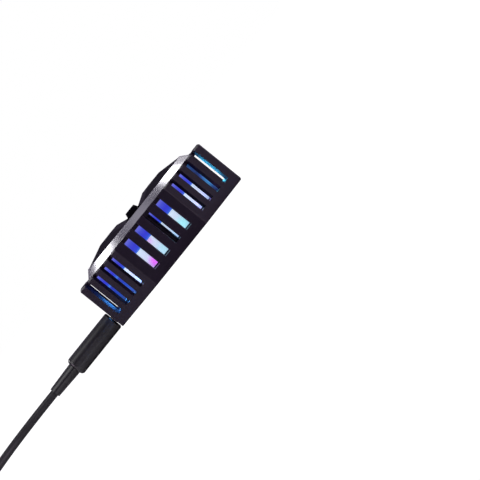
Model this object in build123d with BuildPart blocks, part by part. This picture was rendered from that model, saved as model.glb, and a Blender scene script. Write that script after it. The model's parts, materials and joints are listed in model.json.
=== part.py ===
from build123d import *
import os
from math import atan, cos, degrees, floor, pi, radians, sin, sqrt, tan

# A magnetic cooling fan for a phone, lying on its cold side. Millimetres, +Z up through the fan.
# The origin is the centre of the face that touches the phone, and the lead leaves along -X.

# Slotted body, as wide as the fan, the light ring and the posts inside it need
side_count = 8
wall = 1.25
floor_thickness = 1.2
rim_lip = 0.1
rim_chamfer = 0.5
foot_chamfer = 0.2
corner_round = 0.7
slots_per_side = 4
slot_width = 2.4
slot_throat = 2.1
slot_pitch = 5.13
sill_height = 0.45
web_over_port = 2.2
cut_overrun = 0.2
fit_gap = 0.1

# Heights that pile up from the phone's face
pad_thickness = 0.5
cold_plate_thickness = 1.2
module_thickness = 2.4
sink_base_thickness = 1.3
fin_height = 5.5
fan_depth = 4.8
front_plate_thickness = 1.3

# Cold side
cover_thickness = 0.5
backing_thickness = 0.3
cover_rim = 1.2
floor_lap = 2.0
magnet_edge = 1.25
magnet_depth = 4.4
magnet_length = 5.5
magnet_places = 24

# Everything inside is turned a little against the octagon
inside_turn = 4.0
module_corner_gap = 0.92
ceramic_thickness = 0.7
pellet_rows = 6
pellet_side = 1.6
sink_stand_off = 4.3
sink_corner_gap = 0.4
fin_count = 13
fin_thickness = 0.7
clamp_screw_inset = 2.0
screw_shank_radius = 0.7
screw_head_radius = 1.4
screw_head_height = 0.9
thread_gap = 0.03

# Posts and their screws
post_count = 3
post_radius = 1.3
post_stand_off = 0.6
post_edge = 0.75
post_screw_radius = 0.55
post_screw_head_radius = 1.15
post_screw_head_height = 0.5
post_screw_reach = 5.0

# Circuit board
board_thickness = 0.6
board_set_back = 1.0
board_edge = 1.15
lamp_stand_off = 0.8
lamp_side = 1.8
lamp_height = 0.45
lamp_angles = (-40.0, -12.0, 12.0, 40.0)
chip_height = 0.9
chip_side = 2.5
chip_angles = (112.0, 146.5, 208.0, 239.0, 247.0)
chip_size_shares = ((1.0, 1.0), (0.6, 0.6), (1.2, 0.8), (0.8, 0.7), (0.6, 0.6))

# Socket and plug, to the sizes of USB-C
plug_width = 8.25
plug_height = 2.4
plug_reach = 6.5
plug_cavity_width = 6.9
plug_cavity_height = 1.0
plug_cavity_depth = 6.0
socket_gap = 0.05
socket_wall = 0.3
socket_length = 7.4
socket_inset = 0.4
tongue_width = 6.69
tongue_thickness = 0.7
tongue_length = 4.9
grip_width = 12.0
grip_height = 6.4
grip_length = 19.0
grip_lift = 0.15
grip_stand_off = 0.5
grip_edge = 2.6
grip_nose_round = 0.5
grip_tail_round = 1.1

# Fan
rotor_radius = 20.7
tip_gap = 0.5
frame_wall = 1.0
spoke_count = 4
spoke_width = 2.2
motor_plate_thickness = 0.8
motor_plate_radius = 9.0
hub_radius = 9.2
hub_wall = 0.7
hub_lift = 0.3
rotor_rise = 0.7
yoke_thickness = 0.35
rotor_magnet_thickness = 0.7
air_gap = 0.35
core_thickness = 1.8
pole_count = 4
pole_neck = 2.0
pole_shoe_thickness = 0.9
pole_shoe_width = 7.6
winding_build = 0.6
shaft_radius = 1.0
shaft_gap = 0.04
sleeve_wall = 1.15
holder_wall = 0.9
blade_count = 9
blade_thickness = 0.75
blade_root_chord = 6.6
blade_tip_chord = 9.4
blade_bow = 0.9
blade_margin = 0.25

# Light ring
light_ring_gap = 0.1
light_ring_wall = 1.5
apron_half_angle = 38.0
foot_width = 3.0
foot_angles = (-22.0, 22.0)

# Trim ring and guard
ring_seat = 0.95
ring_flare = 2.4
ring_height = 2.15
ring_land = 0.25
guard_band = 1.2
guard_wall = 1.1
crown_rise = 1.7
petal_count = 4
petal_heel = 2.6
petal_heel_lift = 0.35
petal_crest_share = 0.284
petal_crest_far_share = 0.653
petal_crest_side_share = 0.431
petal_toe = 4.6
petal_toe_far_share = 0.426
guard_rib_width = 1.3
guard_rib_drop = 0.3
guard_rib_height = 1.0
guard_rib_shares = (0.8, 0.6, 0.39)
guard_hub_radius = 4.2
cap_foot = 2.4
cap_top = 1.92
cap_top_narrow = 1.3
cap_pin_radius = 0.9

# Lead
cord_diameter = 2.7
relief_length = 9.8
relief_foot_radius = 2.1
relief_tip_radius = 1.75
turn_gap = 0.52
coil_layers = 4
turns_per_layer = 3.5
coil_inner_radius = 10.5
tie_thickness = 0.8
tie_width = 6.0
tie_gap = 0.1
tie_tab = 9.0

# Far-end plug, to the sizes of USB-A
far_shell_width = 12.0
far_shell_height = 4.5
far_shell_length = 11.75
far_shell_wall = 0.4
far_tongue_width = 11.0
far_tongue_thickness = 1.9
far_tongue_length = 10.6
far_window_side = 2.3
far_window_offset = 2.6
far_window_reach = 6.0
far_grip_width = 15.6
far_grip_height = 8.0
far_grip_length = 21.0
far_grip_edge = 2.4

# Route of the cord from the strain relief to the coil, and from the coil to the far plug
corner_arc_share = 0.45
coil_x = -113.0
coil_y = -12.0
tail_x = -143.0
far_grip_y = 19.5

os.makedirs("parts", exist_ok=True)


def save(block, name):
    """Label one finished piece and write it to its own file."""
    block.part.label = name
    export_step(block.part, "parts/" + name + ".step")


# Widths, from the fan outwards
frame_inner = rotor_radius + tip_gap
frame_outer = frame_inner + frame_wall
light_inner = frame_outer + light_ring_gap
light_outer = light_inner + light_ring_wall
lamp_circle_radius = light_outer + lamp_stand_off + lamp_side / 2
post_circle_radius = light_outer + post_stand_off + post_radius
inner_flat = post_circle_radius + post_radius + post_edge
flat_radius = inner_flat + wall
magnet_circle_radius = inner_flat - magnet_edge - magnet_depth / 2
cold_hole_radius = magnet_circle_radius - magnet_depth / 2 - cover_rim
cold_plate_radius = cold_hole_radius - 3 * fit_gap
floor_opening_radius = cold_plate_radius - floor_lap
module_side = sqrt(2) * (floor_opening_radius - module_corner_gap)
clamp_screw_offset = floor_opening_radius - clamp_screw_inset
board_inner_radius = floor_opening_radius + board_set_back
board_outer_radius = inner_flat - board_edge
sink_width = 2 * (light_inner - sink_stand_off)
sink_corner = sink_width / 2 - sqrt((light_inner - sink_corner_gap) ** 2 - (sink_width / 2) ** 2)

# Levels, from the phone's face upwards
module_bottom = pad_thickness + cold_plate_thickness
sink_bottom = module_bottom + module_thickness
sink_base_top = sink_bottom + sink_base_thickness
fan_bottom = sink_base_top + fin_height
front_plate_bottom = fan_bottom + fan_depth
front_plate_top = front_plate_bottom + front_plate_thickness
body_height = front_plate_top + rim_lip
recess_depth = module_bottom + fit_gap
floor_top = recess_depth + floor_thickness
board_top = floor_top + board_thickness
slot_bottom = floor_top + sill_height
plug_axis = grip_height / 2 + grip_lift

side_angle = 360 / side_count
inside = Plane.XY.rotated((0, 0, inside_turn))
post_start_angle = inside_turn - 90
post_pitch_angle = 360 / post_count
port_angle = 180.0

socket_inner_width = plug_width + 2 * socket_gap
socket_inner_height = plug_height + 2 * socket_gap
socket_width = socket_inner_width + 2 * socket_wall
socket_height = socket_inner_height + 2 * socket_wall
socket_mouth_x = -flat_radius + socket_inset
port_width = socket_width + 2 * fit_gap
port_height = socket_height + 2 * fit_gap
port_slot_bottom = plug_axis + port_height / 2 + web_over_port
slot_draft = degrees(atan((slot_width - slot_throat) / 2 / wall))


def octagon(apothem):
    """One octagon with a flat side towards each axis."""
    return RegularPolygon(apothem, side_count, major_radius=False, rotation=side_angle / 2)


def side_plane(angle, distance):
    """A plane on one side of the body, its x along the side and its y upwards."""
    out = Vector(cos(radians(angle)), sin(radians(angle)), 0)
    return Plane(origin=out * distance, x_dir=Vector(0, 0, 1).cross(out), z_dir=out)


def angle_apart(one, other):
    """How many degrees lie between two directions round the axis."""
    return abs((one - other + 180) % 360 - 180)


post_angles = [post_start_angle + post_pitch_angle * place for place in range(post_count)]


# Housing: the octagonal body with its floor, its port and slots that narrow inwards
with BuildPart() as housing:
    with BuildSketch(Plane.XY):
        octagon(flat_radius)
    extrude(amount=body_height)
    fillet(housing.edges().filter_by(Axis.Z), radius=corner_round)
    chamfer(housing.faces().sort_by(Axis.Z)[-1].edges(), length=rim_chamfer)
    chamfer(housing.faces().sort_by(Axis.Z)[0].edges(), length=foot_chamfer)
    with BuildSketch(Plane.XY.offset(floor_top)):
        octagon(inner_flat)
    extrude(amount=body_height, mode=Mode.SUBTRACT)
    with BuildSketch(Plane.XY):
        octagon(inner_flat)
    extrude(amount=recess_depth, mode=Mode.SUBTRACT)
    with BuildSketch(Plane.XY):
        Circle(floor_opening_radius)
        with PolarLocations(post_circle_radius, post_count, start_angle=post_start_angle):
            Circle(post_screw_radius + fit_gap)
    extrude(amount=floor_top, mode=Mode.SUBTRACT)
    for side in range(side_count):
        angle = side * side_angle
        with BuildSketch(side_plane(angle, flat_radius)):
            for place in range(slots_per_side):
                along = (place - (slots_per_side - 1) / 2) * slot_pitch
                over_port = angle == port_angle and abs(along) < port_width / 2 + wall
                bottom = port_slot_bottom if over_port else slot_bottom
                with Locations((along, bottom)):
                    Rectangle(slot_width, body_height, align=(Align.CENTER, Align.MIN))
        extrude(amount=-(wall + cut_overrun), taper=slot_draft, mode=Mode.SUBTRACT)
    with BuildSketch(side_plane(port_angle, flat_radius)):
        with Locations((0, plug_axis)):
            RectangleRounded(port_width, port_height, port_height / 2 - fit_gap)
    extrude(amount=-(socket_inset + socket_length + fit_gap), mode=Mode.SUBTRACT)
save(housing, "housing")

# Bottom cover over the magnets
with BuildPart() as magnet_cover:
    with BuildSketch(Plane.XY):
        octagon(inner_flat - fit_gap)
        Circle(cold_hole_radius, mode=Mode.SUBTRACT)
    extrude(amount=cover_thickness)
save(magnet_cover, "magnet_cover")

# Ring of magnet blocks, with places left free at the socket and at each screw
backing_bottom = recess_depth - fit_gap - backing_thickness
port_clearance_angle = degrees((port_width + magnet_length) / 2 / magnet_circle_radius)
screw_clearance_angle = degrees((post_screw_head_radius + magnet_length / 2) / magnet_circle_radius)
with BuildPart() as magnets:
    with BuildSketch(Plane.XY.offset(cover_thickness)):
        for place in range(magnet_places):
            angle = (place + 1 / 2) * 360 / magnet_places
            clear_of_port = angle_apart(angle, port_angle) > port_clearance_angle
            clear_of_posts = all(angle_apart(angle, post) > screw_clearance_angle for post in post_angles)
            if clear_of_port and clear_of_posts:
                with PolarLocations(magnet_circle_radius, 1, start_angle=angle):
                    Rectangle(magnet_depth, magnet_length)
    extrude(amount=backing_bottom - cover_thickness)
save(magnets, "magnets")

# Steel backing ring behind the magnets
with BuildPart() as backing_ring:
    with BuildSketch(Plane.XY.offset(backing_bottom)):
        Circle(magnet_circle_radius + magnet_depth / 2)
        Circle(magnet_circle_radius - magnet_depth / 2, mode=Mode.SUBTRACT)
        with PolarLocations(post_circle_radius, post_count, start_angle=post_start_angle):
            Circle(post_screw_head_radius + fit_gap, mode=Mode.SUBTRACT)
        with PolarLocations(magnet_circle_radius, 1, start_angle=port_angle):
            Rectangle(2 * magnet_depth, port_width, mode=Mode.SUBTRACT)
    extrude(amount=backing_thickness)
save(backing_ring, "backing_ring")

# Silicone pad
with BuildPart() as thermal_pad:
    with BuildSketch(Plane.XY):
        Circle(cold_plate_radius)
    extrude(amount=pad_thickness)
save(thermal_pad, "thermal_pad")

# Cold plate, drilled for the clamp screws
clamp_depth = cold_plate_thickness - fit_gap
with BuildPart() as cold_plate:
    with BuildSketch(Plane.XY.offset(pad_thickness)):
        Circle(cold_plate_radius)
    extrude(amount=cold_plate_thickness)
    with BuildSketch(inside.offset(module_bottom)):
        with Locations((-clamp_screw_offset, 0), (clamp_screw_offset, 0)):
            Circle(screw_shank_radius + thread_gap)
    extrude(amount=-clamp_depth, mode=Mode.SUBTRACT)
save(cold_plate, "cold_plate")

# Thermoelectric module: two ceramic plates with rows of pellets between them
pellet_pitch = (module_side - 2 * pellet_side) / (pellet_rows - 1)
with BuildPart() as cooling_module:
    for bottom in (module_bottom, sink_bottom - ceramic_thickness):
        with BuildSketch(inside.offset(bottom)):
            Rectangle(module_side, module_side)
        extrude(amount=ceramic_thickness)
    with BuildSketch(inside.offset(module_bottom + ceramic_thickness)):
        with GridLocations(pellet_pitch, pellet_pitch, pellet_rows, pellet_rows):
            Rectangle(pellet_side, pellet_side)
    extrude(amount=module_thickness - 2 * ceramic_thickness)
save(cooling_module, "cooling_module")

# Rubber gasket round the module
with BuildPart() as module_gasket:
    with BuildSketch(inside.offset(module_bottom + fit_gap)):
        Circle(floor_opening_radius - fit_gap)
        Rectangle(module_side + 2 * fit_gap, module_side + 2 * fit_gap, mode=Mode.SUBTRACT)
        with Locations((-clamp_screw_offset, 0), (clamp_screw_offset, 0)):
            Circle(screw_shank_radius + fit_gap, mode=Mode.SUBTRACT)
    extrude(amount=module_thickness - 2 * fit_gap)
save(module_gasket, "module_gasket")

# Heat sink: a plate with cut corners and upright fins
fin_pitch = (sink_width - fin_thickness) / (fin_count - 1)
with BuildPart() as heat_sink:
    with BuildSketch(inside.offset(sink_bottom)) as sink_outline:
        Rectangle(sink_width, sink_width)
        chamfer(sink_outline.vertices(), length=sink_corner)
    extrude(amount=sink_base_thickness)
    with BuildSketch(inside.offset(sink_base_top)) as fin_rows:
        with GridLocations(0, fin_pitch, 1, fin_count):
            Rectangle(sink_width, fin_thickness)
        with BuildSketch(mode=Mode.INTERSECT) as fin_limit:
            Rectangle(sink_width, sink_width)
            chamfer(fin_limit.vertices(), length=sink_corner)
        with Locations((-clamp_screw_offset, 0), (clamp_screw_offset, 0)):
            Circle(screw_head_radius + fit_gap, mode=Mode.SUBTRACT)
    extrude(amount=fin_height)
    with BuildSketch(inside.offset(sink_bottom)):
        with Locations((-clamp_screw_offset, 0), (clamp_screw_offset, 0)):
            Circle(screw_shank_radius + fit_gap)
    extrude(amount=sink_base_thickness, mode=Mode.SUBTRACT)
save(heat_sink, "heat_sink")

# Two screws that clamp the heat sink, module and cold plate together
clamp_tip = module_bottom - clamp_depth + fit_gap
with BuildPart() as clamp_screws:
    with BuildSketch(inside.offset(clamp_tip)):
        with Locations((-clamp_screw_offset, 0), (clamp_screw_offset, 0)):
            Circle(screw_shank_radius)
    extrude(amount=sink_base_top - clamp_tip)
    with BuildSketch(inside.offset(sink_base_top)):
        with Locations((-clamp_screw_offset, 0), (clamp_screw_offset, 0)):
            Circle(screw_head_radius)
    extrude(amount=screw_head_height)
save(clamp_screws, "clamp_screws")

# Ring-shaped circuit board, cut away at the socket and the posts
with BuildPart() as main_board:
    with BuildSketch(Plane.XY.offset(floor_top)):
        Circle(board_outer_radius)
        Circle(board_inner_radius, mode=Mode.SUBTRACT)
        with PolarLocations(post_circle_radius, post_count, start_angle=post_start_angle):
            Circle(post_radius + fit_gap, mode=Mode.SUBTRACT)
        with Locations((socket_mouth_x, 0)):
            Rectangle(
                socket_length + fit_gap, port_width, align=(Align.MIN, Align.CENTER), mode=Mode.SUBTRACT
            )
    extrude(amount=board_thickness)
save(main_board, "main_board")

# Lamps standing on the board, left out where the socket is
lamp_port_angle = degrees((port_width / 2 + lamp_side) / lamp_circle_radius)
with BuildPart() as lamps:
    with BuildSketch(Plane.XY.offset(board_top)):
        for quarter_angle in range(0, 360, 90):
            for angle in lamp_angles:
                turned = quarter_angle + angle
                if angle_apart(turned, port_angle) > lamp_port_angle:
                    with PolarLocations(lamp_circle_radius, 1, start_angle=turned):
                        Rectangle(lamp_side, lamp_side)
    extrude(amount=lamp_height)
save(lamps, "lamps")

# Power parts on the board, on both sides of the socket
with BuildPart() as power_chips:
    with BuildSketch(Plane.XY.offset(board_top)):
        for angle, (length_share, depth_share) in zip(chip_angles, chip_size_shares):
            with PolarLocations(lamp_circle_radius, 1, start_angle=angle):
                Rectangle(chip_side * depth_share, chip_side * length_share)
    extrude(amount=chip_height)
    chamfer(power_chips.edges().group_by(Axis.Z)[-1], length=fit_gap)
save(power_chips, "power_chips")


def socket_profile(width, height):
    """One flat-sided tube section with fully round ends, as the standard plug has."""
    return SlotOverall(width, height)


# Socket shell, closed at its inner end
socket_back = socket_length - socket_wall
with BuildPart() as port_shell:
    with BuildSketch(side_plane(port_angle, -socket_mouth_x)):
        with Locations((0, plug_axis)):
            socket_profile(socket_width, socket_height)
    extrude(amount=-socket_length)
    with BuildSketch(side_plane(port_angle, -socket_mouth_x)):
        with Locations((0, plug_axis)):
            socket_profile(socket_inner_width, socket_inner_height)
    extrude(amount=-socket_back, mode=Mode.SUBTRACT)
save(port_shell, "port_shell")

# Tongue inside the socket
with BuildPart() as port_tongue:
    with BuildSketch(side_plane(port_angle, -socket_mouth_x - socket_back)):
        with Locations((0, plug_axis)):
            Rectangle(tongue_width, tongue_thickness)
    extrude(amount=tongue_length)
    chamfer(port_tongue.faces().sort_by(Axis.X)[0].edges(), length=tongue_thickness / 4)
save(port_tongue, "port_tongue")

# Fan frame: a ring, spokes, the motor plate and the bearing holder
motor_plate_top = fan_bottom + motor_plate_thickness
sleeve_radius = shaft_radius + shaft_gap + sleeve_wall
holder_radius = sleeve_radius + thread_gap + holder_wall
hub_top = front_plate_bottom + rotor_rise
hub_bottom = motor_plate_top + hub_lift
yoke_top = hub_top - hub_wall
yoke_under = yoke_top - yoke_thickness
core_bottom = motor_plate_top + winding_build + fit_gap
core_top = core_bottom + core_thickness
winding_top = core_top + winding_build
holder_top = winding_top - fit_gap
bearing_floor = fan_bottom + motor_plate_thickness / 3
with BuildPart() as fan_frame:
    with BuildSketch(inside.offset(fan_bottom)):
        Circle(frame_outer)
        Circle(frame_inner, mode=Mode.SUBTRACT)
    extrude(amount=fan_depth)
    with BuildSketch(inside.offset(fan_bottom)):
        Circle(motor_plate_radius)
        with PolarLocations(0, spoke_count, start_angle=45):
            Rectangle(frame_inner + frame_wall / 2, spoke_width, align=(Align.MIN, Align.CENTER))
    extrude(amount=motor_plate_thickness)
    with BuildSketch(inside.offset(fan_bottom)):
        Circle(holder_radius)
    extrude(amount=holder_top - fan_bottom)
    with BuildSketch(inside.offset(bearing_floor)):
        Circle(sleeve_radius + thread_gap)
    extrude(amount=fan_depth, mode=Mode.SUBTRACT)
save(fan_frame, "fan_frame")

# Bearing sleeve
with BuildPart() as bearing_sleeve:
    with BuildSketch(Plane.XY.offset(bearing_floor + fit_gap)):
        Circle(sleeve_radius)
        Circle(shaft_radius + shaft_gap, mode=Mode.SUBTRACT)
    extrude(amount=holder_top - bearing_floor - fit_gap)
save(bearing_sleeve, "bearing_sleeve")

# Stator core with its poles
yoke_outer = hub_radius - hub_wall - thread_gap
yoke_inner = yoke_outer - yoke_thickness
magnet_inner = yoke_inner - thread_gap - rotor_magnet_thickness
core_radius = magnet_inner - air_gap
shoe_inner = core_radius - pole_shoe_thickness
with BuildPart() as stator_core:
    with BuildSketch(inside.offset(core_bottom)) as core_outline:
        with PolarLocations(0, pole_count):
            Rectangle(core_radius, pole_neck, align=(Align.MIN, Align.CENTER))
        with PolarLocations(shoe_inner, pole_count):
            Rectangle(2 * pole_shoe_thickness, pole_shoe_width, align=(Align.MIN, Align.CENTER))
        Circle(core_radius, mode=Mode.INTERSECT)
        Circle(holder_radius + thread_gap + pole_neck / 2)
        Circle(holder_radius + thread_gap, mode=Mode.SUBTRACT)
    extrude(amount=core_thickness)
save(stator_core, "stator_core")

# Windings: a wound block round each pole
winding_inner = holder_radius + thread_gap + pole_neck / 2
winding_outer = shoe_inner - fit_gap
winding_length = winding_outer - winding_inner
with BuildPart() as stator_windings:
    with BuildSketch(inside.offset(core_bottom - winding_build)):
        with PolarLocations(winding_inner + fit_gap, pole_count):
            Rectangle(
                winding_length - fit_gap,
                pole_neck + 2 * winding_build,
                align=(Align.MIN, Align.CENTER),
            )
    extrude(amount=core_thickness + 2 * winding_build)
    fillet(stator_windings.edges().group_by(Axis.Z)[-1], radius=fit_gap)
    with BuildSketch(inside.offset(core_bottom - thread_gap)):
        with PolarLocations(winding_inner, pole_count):
            Rectangle(winding_length + fit_gap, pole_neck + 2 * thread_gap, align=(Align.MIN, Align.CENTER))
    extrude(amount=core_thickness + 2 * thread_gap, mode=Mode.SUBTRACT)
save(stator_windings, "stator_windings")

# One fan blade, bowed and twisted from root to tip
blade_bottom = hub_bottom + blade_margin
blade_top = hub_top - blade_margin
blade_height = blade_top - blade_bottom
blade_middle = (blade_top + blade_bottom) / 2


def blade_section(radius, chord):
    """The bowed section of a blade where it crosses one radius."""
    rise = blade_height - blade_thickness
    run = sqrt(chord**2 - rise**2)
    start = Vector(-run / 2, -rise / 2)
    end = Vector(run / 2, rise / 2)
    across = Vector(-rise / chord, run / chord)
    middle = (start + end) / 2 + across * blade_bow
    half = across * (blade_thickness / 2)
    with BuildSketch(Plane(origin=(radius, 0, blade_middle), x_dir=(0, 1, 0), z_dir=(1, 0, 0))) as section:
        with BuildLine():
            ThreePointArc(start + half, middle + half, end + half)
            Line(end + half, end - half)
            ThreePointArc(end - half, middle - half, start - half)
            Line(start - half, start + half)
        make_face()
    return section.sketch


with BuildPart() as blade:
    loft([
        blade_section(hub_radius - hub_wall / 2, blade_root_chord),
        blade_section(rotor_radius + cut_overrun, blade_tip_chord),
    ])
    with BuildSketch(Plane.XY.offset(hub_bottom)):
        Circle(rotor_radius)
    extrude(amount=blade_height + 2 * blade_margin, mode=Mode.INTERSECT)

# Rotor: the hub cup with its blades
with BuildPart() as rotor:
    with BuildSketch(Plane.XY.offset(hub_bottom)):
        Circle(hub_radius)
    extrude(amount=hub_top - hub_bottom)
    fillet(rotor.edges().group_by(Axis.Z)[-1], radius=hub_wall)
    with PolarLocations(0, blade_count):
        add(blade.part)
    with BuildSketch(Plane.XY.offset(hub_bottom)):
        Circle(yoke_outer + thread_gap)
    extrude(amount=yoke_top - hub_bottom, mode=Mode.SUBTRACT)
    with BuildSketch(Plane.XY.offset(yoke_top)):
        Circle(shaft_radius + thread_gap)
    extrude(amount=hub_wall / 2, mode=Mode.SUBTRACT)
save(rotor, "rotor")

# Steel cup inside the hub
with BuildPart() as rotor_yoke:
    with BuildSketch(Plane.XY.offset(hub_bottom + fit_gap)):
        Circle(yoke_outer)
    extrude(amount=yoke_top - hub_bottom - fit_gap)
    with BuildSketch(Plane.XY.offset(hub_bottom)):
        Circle(yoke_inner)
    extrude(amount=yoke_under - hub_bottom, mode=Mode.SUBTRACT)
    with BuildSketch(Plane.XY.offset(hub_bottom)):
        Circle(shaft_radius + thread_gap)
    extrude(amount=hub_top - hub_bottom, mode=Mode.SUBTRACT)
save(rotor_yoke, "rotor_yoke")

# Ring magnet inside the cup
with BuildPart() as rotor_magnet:
    with BuildSketch(Plane.XY.offset(hub_bottom + 2 * fit_gap)):
        Circle(yoke_inner - thread_gap)
        Circle(magnet_inner, mode=Mode.SUBTRACT)
    extrude(amount=yoke_under - hub_bottom - 3 * fit_gap)
save(rotor_magnet, "rotor_magnet")

# Shaft
shaft_bottom = bearing_floor + 2 * fit_gap
with BuildPart() as shaft:
    with BuildSketch(Plane.XY.offset(shaft_bottom)):
        Circle(shaft_radius)
    extrude(amount=yoke_top + hub_wall / 2 - shaft_bottom)
    chamfer(shaft.edges().group_by(Axis.Z)[0], length=shaft_radius / 4)
save(shaft, "shaft")

# Light ring: a band round the fan, an apron behind the socket and two narrow feet
apron_width = 2 * light_outer * sin(radians(apron_half_angle))
with BuildPart() as light_ring:
    with BuildSketch(inside.offset(fan_bottom)):
        Circle(light_outer)
        Circle(light_inner, mode=Mode.SUBTRACT)
    extrude(amount=fan_depth)
    with BuildSketch(inside.offset(board_top)):
        with Locations((-light_outer, 0)):
            Rectangle(light_outer, apron_width, align=(Align.MIN, Align.CENTER))
        with PolarLocations(0, 1, start_angle=foot_angles[0]):
            Rectangle(light_outer, foot_width, align=(Align.MIN, Align.CENTER))
        with PolarLocations(0, 1, start_angle=foot_angles[1]):
            Rectangle(light_outer, foot_width, align=(Align.MIN, Align.CENTER))
        Circle(light_outer, mode=Mode.INTERSECT)
        Circle(light_inner, mode=Mode.SUBTRACT)
    extrude(amount=fan_bottom - board_top)
    with BuildSketch(side_plane(port_angle, light_outer)):
        with Locations((0, plug_axis)):
            Rectangle(port_width + 2 * fit_gap, port_height + 2 * fit_gap)
    extrude(amount=-2 * light_ring_wall, mode=Mode.SUBTRACT)
save(light_ring, "light_ring")

# Front plate with the posts that hang from it
post_foot = floor_top
with BuildPart() as front_plate:
    with BuildSketch(Plane.XY.offset(front_plate_bottom)):
        octagon(inner_flat - fit_gap)
        Circle(frame_inner, mode=Mode.SUBTRACT)
    extrude(amount=front_plate_thickness)
    with BuildSketch(Plane.XY.offset(post_foot)):
        with PolarLocations(post_circle_radius, post_count, start_angle=post_start_angle):
            Circle(post_radius)
    extrude(amount=front_plate_bottom - post_foot)
    with BuildSketch(Plane.XY.offset(post_foot)):
        with PolarLocations(post_circle_radius, post_count, start_angle=post_start_angle):
            Circle(post_screw_radius + thread_gap)
    extrude(amount=post_screw_reach + fit_gap, mode=Mode.SUBTRACT)
save(front_plate, "front_plate")

# Screws up through the floor into the posts
with BuildPart() as post_screws:
    with BuildSketch(Plane.XY.offset(recess_depth - post_screw_head_height)):
        with PolarLocations(post_circle_radius, post_count, start_angle=post_start_angle):
            Circle(post_screw_head_radius)
    extrude(amount=post_screw_head_height)
    with BuildSketch(Plane.XY.offset(recess_depth)):
        with PolarLocations(post_circle_radius, post_count, start_angle=post_start_angle):
            Circle(post_screw_radius)
    extrude(amount=floor_thickness + post_screw_reach)
save(post_screws, "post_screws")

# Trim ring: a solid metal ring with a sloping face
ring_top = front_plate_top + ring_height
ring_inner = frame_inner + ring_seat
ring_top_radius = ring_inner + ring_land
ring_foot_radius = ring_top_radius + ring_flare
with BuildPart() as trim_ring:
    with BuildSketch(Plane.XZ):
        with BuildLine():
            Polyline(
                (ring_inner, front_plate_top),
                (ring_foot_radius, front_plate_top),
                (ring_top_radius, ring_top),
                (ring_inner, ring_top),
                close=True,
            )
        make_face()
    revolve(axis=Axis.Z)
save(trim_ring, "trim_ring")

# Fan guard: four faceted petals on a band, joined by ribs across the air gaps
guard_radius = ring_inner - fit_gap
crown_top = ring_top + crown_rise
heel_level = ring_top + petal_heel_lift
petal_crest = petal_crest_share * guard_radius
petal_crest_far = petal_crest_far_share * guard_radius
petal_crest_side = petal_crest_side_share * guard_radius
petal_toe_far = petal_toe_far_share * guard_radius
toe_x = sqrt(guard_radius**2 - petal_toe**2)
toe_far_x = sqrt(guard_radius**2 - petal_toe_far**2)


def petal_corners():
    """The corners of one petal: heel, toes round the rim, and the three corners of its crest."""
    return {
        "heel": Vector(petal_heel, petal_heel, heel_level),
        "toe": Vector(toe_x, petal_toe, ring_top),
        "toe_far": Vector(toe_far_x, petal_toe_far, ring_top),
        "crest": Vector(petal_crest, petal_crest, crown_top),
        "crest_far": Vector(petal_crest_far, petal_crest_side, crown_top),
    }


def across(point):
    """The same corner on the other half of the petal."""
    return Vector(point.Y, point.X, point.Z)


def facet_plane(one, two, three):
    """The plane of one facet, its normal pointing away from the petal's inside."""
    normal = (two - one).cross(three - one).normalized()
    if normal.Z < 0:
        normal = normal * -1
    return Plane(origin=one, z_dir=normal)


def petal_solid(inset, bottom):
    """One petal, or the hollow inside it when its faces are set in."""
    corners = petal_corners()
    heel = corners["heel"]
    toe = corners["toe"]
    toe_far = corners["toe_far"]
    crest = corners["crest"]
    crest_far = corners["crest_far"]
    facets = [
        (heel, toe, crest),
        (toe, crest_far, crest),
        (toe, toe_far, crest_far),
        (toe_far, across(toe_far), crest_far),
        (across(toe_far), across(toe), across(crest_far)),
        (across(toe), across(crest), across(crest_far)),
        (across(toe), heel, crest),
    ]
    with BuildPart() as petal:
        with BuildSketch(Plane.XY.offset(bottom)):
            with BuildLine():
                Line((heel.X, heel.Y), (toe.X, toe.Y))
                RadiusArc((toe.X, toe.Y), (toe.Y, toe.X), -guard_radius)
                Line((toe.Y, toe.X), (heel.X, heel.Y))
            make_face()
            if inset > 0:
                offset(amount=-inset, kind=Kind.INTERSECTION)
        extrude(amount=crown_top - inset - bottom)
        for facet in facets:
            split(bisect_by=facet_plane(*facet).offset(-inset), keep=Keep.BOTTOM)
    return petal.part


rib_top = ring_top - guard_rib_drop
rib_bottom = rib_top - guard_rib_height
petal_shell = petal_solid(0, rib_bottom)
petal_hollow = petal_solid(guard_wall, rib_bottom - cut_overrun)
with BuildPart() as fan_guard:
    with BuildSketch(Plane.XY.offset(front_plate_top)):
        Circle(guard_radius)
        Circle(guard_radius - guard_band, mode=Mode.SUBTRACT)
    extrude(amount=ring_height)
    with BuildSketch(Plane.XY.offset(rib_bottom)):
        for share in guard_rib_shares:
            Circle(share * guard_radius)
            Circle(share * guard_radius - guard_rib_width, mode=Mode.SUBTRACT)
        Circle(guard_hub_radius)
        with PolarLocations(0, petal_count):
            Rectangle(guard_radius - guard_band / 2, guard_rib_width, align=(Align.MIN, Align.CENTER))
    extrude(amount=guard_rib_height)
    with PolarLocations(0, petal_count):
        add(petal_shell)
    with BuildSketch(Plane.XY.offset(rib_bottom)):
        Circle(guard_hub_radius)
    extrude(amount=heel_level - rib_bottom)
    with PolarLocations(0, petal_count):
        add(petal_hollow, mode=Mode.SUBTRACT)
    with BuildSketch(Plane.XY.offset(rib_bottom)):
        Circle(cap_pin_radius + thread_gap)
    extrude(amount=crown_top, mode=Mode.SUBTRACT)
save(fan_guard, "fan_guard")

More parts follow.
